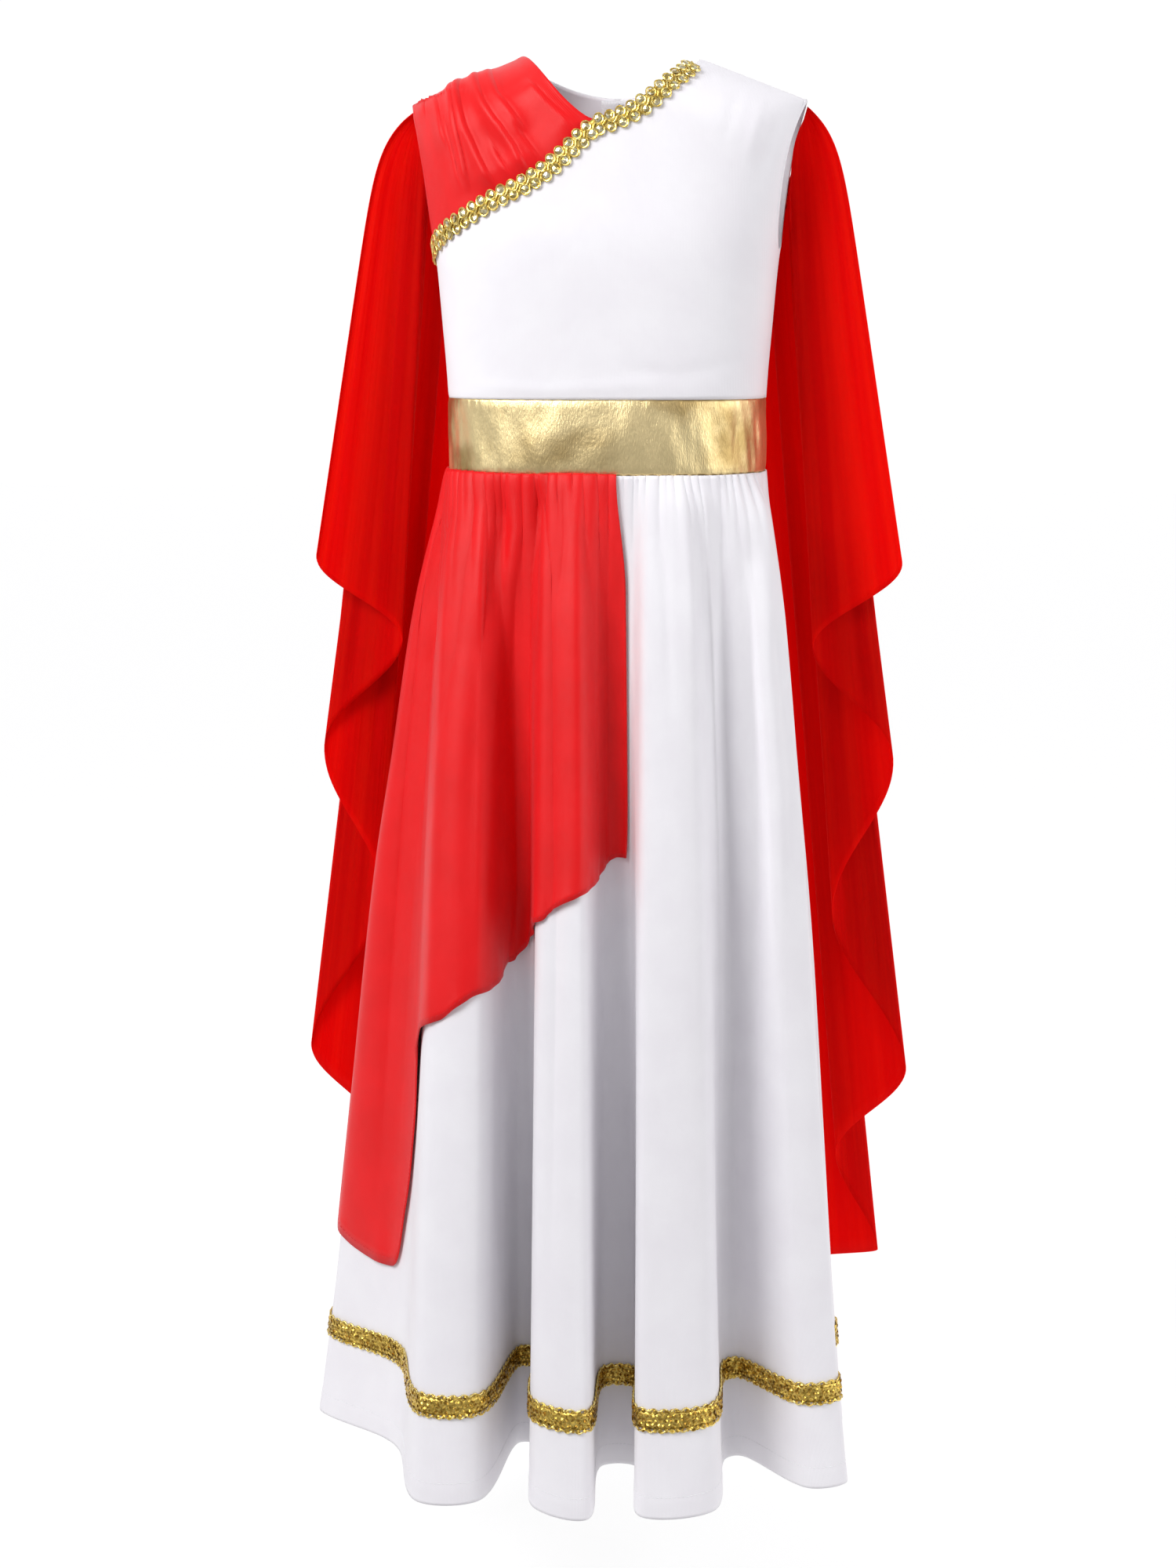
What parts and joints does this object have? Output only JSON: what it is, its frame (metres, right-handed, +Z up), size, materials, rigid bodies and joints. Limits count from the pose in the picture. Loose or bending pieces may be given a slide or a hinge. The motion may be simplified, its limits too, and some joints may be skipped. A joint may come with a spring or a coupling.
{
  "type": "roman toga costume",
  "caption": "Sleeveless ankle-length toga costume with diagonal braid, gathered skirt, red over-skirt and shoulder drapes, hollow as worn.",
  "frame": {"origin": "between the shoulders at the height of the neck ends of the shoulder seams, where the wearer's shoulders carry the garment", "axes": "+Z up, the front faces -Y, the wearer's left is +X"},
  "size_m": [0.4739, 0.3447, 1.0198],
  "materials": {
    "white_jersey": "matt knitted jersey, faint sheen",
    "red_jersey": "soft knitted jersey with a peach sheen",
    "red_chiffon": "sheer plain-weave chiffon",
    "gold_lame": "metallic foil jersey, finely crinkled",
    "gold_braid": "sequin braid with scalloped edges",
    "zip_tape": "woven tape",
    "zip_metal": "bright nickel"
  },
  "bodies": {
    "garment": {"bodice_front": "white_jersey", "bodice_back_left": "white_jersey", "bodice_back_right": "white_jersey", "yoke": "red_jersey", "neck_trim": "gold_braid", "waistband": "gold_lame", "skirt_front": "white_jersey", "skirt_back_right": "white_jersey", "skirt_back_left": "white_jersey", "hem_trim": "gold_braid", "overlay": "red_jersey", "wing_left": "red_chiffon", "wing_right": "red_chiffon", "zip_tape": "zip_tape", "zip_slider": "zip_metal"},
    "zip_pull": {"zip_pull": "zip_metal"}
  },
  "joints": [
    {"name": "zip_pull_hinge", "type": "hinge", "parent": "garment", "child": "zip_pull", "pos_m": [0, 0.07752, -0.02932], "axis": [1, 0, 0], "range_deg": [0, 150]}
  ]
}
